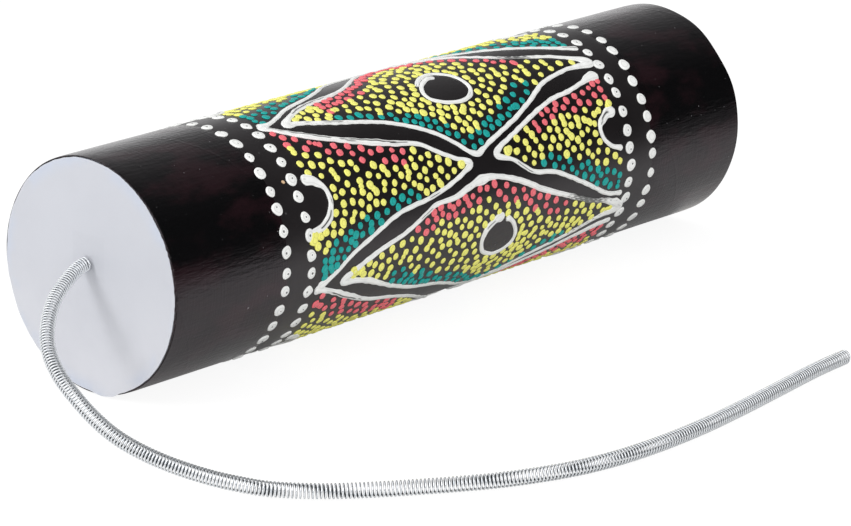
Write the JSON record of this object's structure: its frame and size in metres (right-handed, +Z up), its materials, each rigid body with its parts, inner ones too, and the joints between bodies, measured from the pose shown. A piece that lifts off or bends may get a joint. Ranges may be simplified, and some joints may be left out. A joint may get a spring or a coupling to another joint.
{
  "type": "spring drum",
  "caption": "Tubular hand drum with a plastic film head, an open rear end and a long loose coil spring hooked through the head; shaking it makes a rumble.",
  "frame": {"origin": "on the surface that the drum lies on, under the middle of the drum without its spring", "axes": "+Y along the tube from the head to the open rear end, +Z up, the spring lies towards +X"},
  "size_m": [0.189, 0.2944, 0.0697],
  "materials": {
    "tube": "spiral-wound card, matt black and dot-painted outside, bare brown inside",
    "front_band": "deep gloss black",
    "rear_band": "deep gloss black",
    "drumhead": "pale blue-grey film, faintly mottled",
    "glue_ring": "clear bluish adhesive",
    "retaining_washer": "grey-brown fibre",
    "glue_blob": "hot-melt adhesive, yellowish",
    "spring": "bright drawn wire"
  },
  "bodies": {
    "drum": {"tube": "tube", "front_band": "front_band", "rear_band": "rear_band", "drumhead": "drumhead", "glue_ring": "glue_ring"},
    "anchor": {"retaining_washer": "retaining_washer", "glue_blob": "glue_blob"},
    "spring": {"spring": "spring"}
  },
  "joints": [
    {"name": "head_pump", "type": "slide", "parent": "drum", "child": "anchor", "axis": [0, 1, 0], "range_m": [-0.0007, 0.0007], "stiffness_N_per_m": 1000, "deforming": ["drumhead"]},
    {"name": "spring_swing", "type": "hinge", "parent": "anchor", "child": "spring", "pos_m": [0.0009, -0.12755, 0.03907], "axis": [0, 0, 1], "range_deg": [-120, 25], "deforming": ["spring"]}
  ]
}
